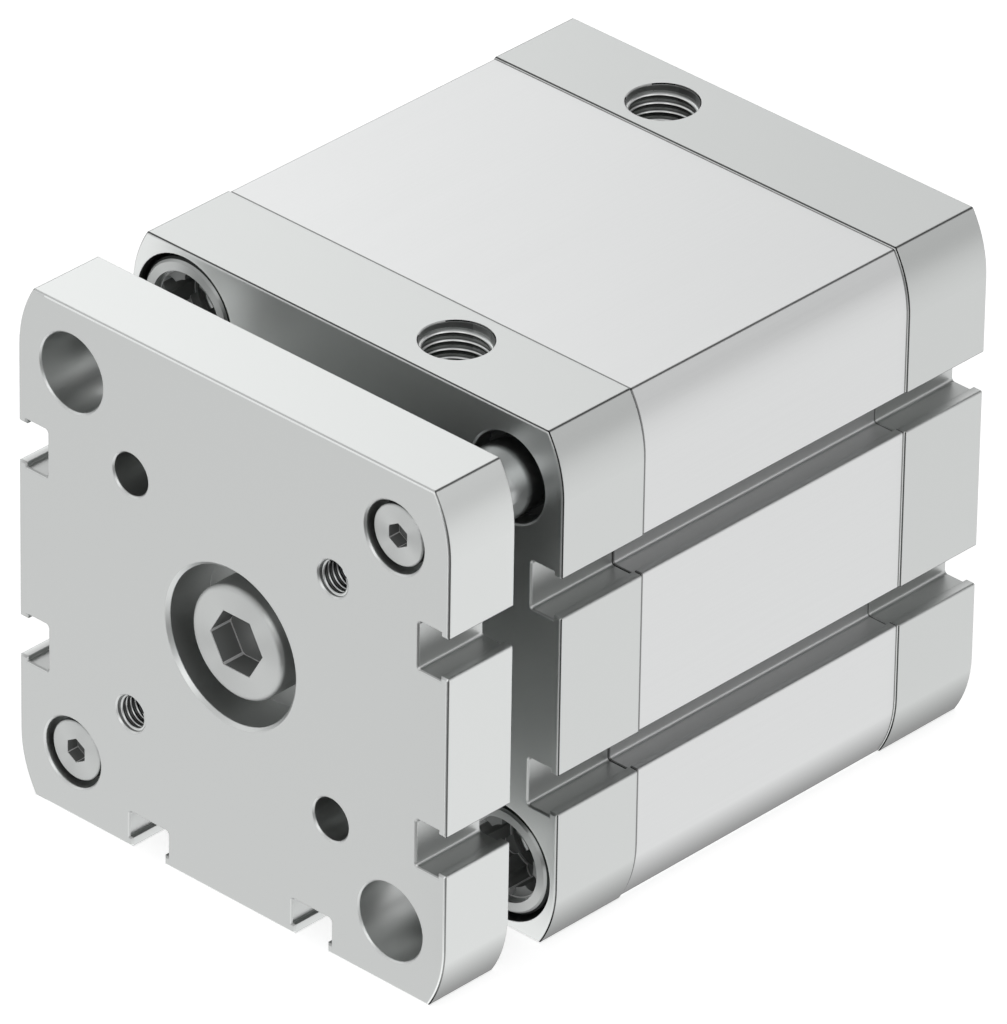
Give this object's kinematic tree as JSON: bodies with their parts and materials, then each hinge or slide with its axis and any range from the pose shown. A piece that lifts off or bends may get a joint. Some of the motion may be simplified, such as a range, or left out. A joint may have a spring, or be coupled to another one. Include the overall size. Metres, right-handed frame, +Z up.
{
  "type": "guided pneumatic cylinder",
  "caption": "Compact square air cylinder with slotted body, guide rods and a yoke plate on the rod, so the rod can't turn.",
  "frame": {"origin": "centre of the rear mounting face, on the stroke axis", "axes": "+Y from the yoke plate to the rear along the stroke axis, +Z up to the ports, +X to the right seen from the front"},
  "size_m": [0.0754, 0.0993, 0.0754],
  "materials": {
    "anodised_profile": "anodised extruded profile, fine lines along the stroke",
    "machined_aluminium": "machined and satin anodised",
    "piston_aluminium": "turned",
    "screw_steel": "turned bright steel",
    "rod_chrome": "ground and chromed",
    "bearing_metal": "sintered bronze",
    "seal_rubber": "moulded rubber",
    "cushion_rubber": "moulded polyurethane",
    "bonded_magnet": "plastic-bonded ferrite",
    "guide_plastic": "bearing plastic"
  },
  "bodies": {
    "cylinder_body": {"barrel": "anodised_profile", "bearing_cap": "machined_aluminium", "end_cap": "machined_aluminium", "piston_rod_bush": "bearing_metal", "piston_rod_seal": "seal_rubber", "guide_rod_bushes": "bearing_metal", "bearing_cap_seal": "seal_rubber", "end_cap_seal": "seal_rubber", "front_cushion_ring": "cushion_rubber", "rear_cushion_ring": "cushion_rubber", "front_collar_screws": "screw_steel", "rear_collar_screws": "screw_steel"},
    "moving_yoke": {"yoke_plate": "machined_aluminium", "yoke_centre_screw": "screw_steel", "guide_rod_screws": "screw_steel", "guide_rods": "rod_chrome", "piston_rod": "rod_chrome", "piston_front_half": "piston_aluminium", "piston_rear_half": "piston_aluminium", "piston_magnet": "bonded_magnet", "piston_guide_ring": "guide_plastic", "piston_front_lip_seal": "seal_rubber", "piston_rear_lip_seal": "seal_rubber", "piston_rod_o_ring": "seal_rubber", "piston_screw": "screw_steel"}
  },
  "joints": [
    {"name": "rod_slide", "type": "slide", "parent": "cylinder_body", "child": "moving_yoke", "axis": [0, -1, 0], "range_m": [0, 0.03]}
  ]
}
